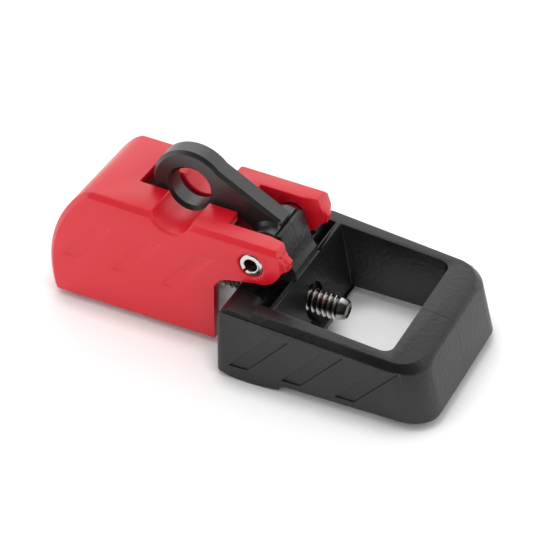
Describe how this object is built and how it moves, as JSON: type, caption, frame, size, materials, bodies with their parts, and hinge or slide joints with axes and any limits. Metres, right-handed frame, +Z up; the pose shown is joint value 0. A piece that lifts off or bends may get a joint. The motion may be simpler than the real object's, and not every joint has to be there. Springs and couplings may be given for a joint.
{
  "type": "breaker lockout hasp",
  "caption": "Clamp-on breaker lockout: ring frame that drops over a wide toggle, knurled clamp screw, hinged cover over the screw head and a padlock eye.",
  "frame": {"origin": "bottom centre of the closed part's bounding box, on the surface that the frame's foot rests on", "axes": "+X along the clamp screw from the cover's end to the jaw, +Y along the hinge pin, +Z up out of the toggle window"},
  "size_m": [0.0818, 0.0374, 0.0349],
  "materials": {
    "frame_plastic": "fine matt black moulded nylon",
    "coated_steel": "satin black coating on steel",
    "plated_steel": "dull plated steel",
    "cover_plastic": "satin red moulded plastic",
    "bright_steel": "bright turned stainless steel"
  },
  "bodies": {
    "root": {"clamp_frame": "frame_plastic", "lock_loop": "coated_steel", "captive_nut": "plated_steel", "hinge_pin": "bright_steel"},
    "cover": {"cover": "cover_plastic"},
    "screw": {"screw_shank": "bright_steel"},
    "knob": {"screw_head": "bright_steel"}
  },
  "joints": [
    {"name": "cover_hinge", "type": "hinge", "parent": "root", "child": "cover", "pos_m": [0.002, 0, 0.0209], "axis": [0, 1, 0], "range_deg": [0, 80]},
    {"name": "screw_feed", "type": "slide", "parent": "root", "child": "screw", "axis": [1, 0, 0], "range_m": [-0.0086, 0.0096]},
    {"name": "screw_turn", "type": "hinge", "parent": "screw", "child": "knob", "pos_m": [-0.0112, 0, 0.0079], "axis": [1, 0, 0], "range_deg": [-2880, 3240]}
  ],
  "couplings": [
    {"joint": "screw_feed", "follows": "screw_turn", "m_per_rad": 0.00016839}
  ]
}
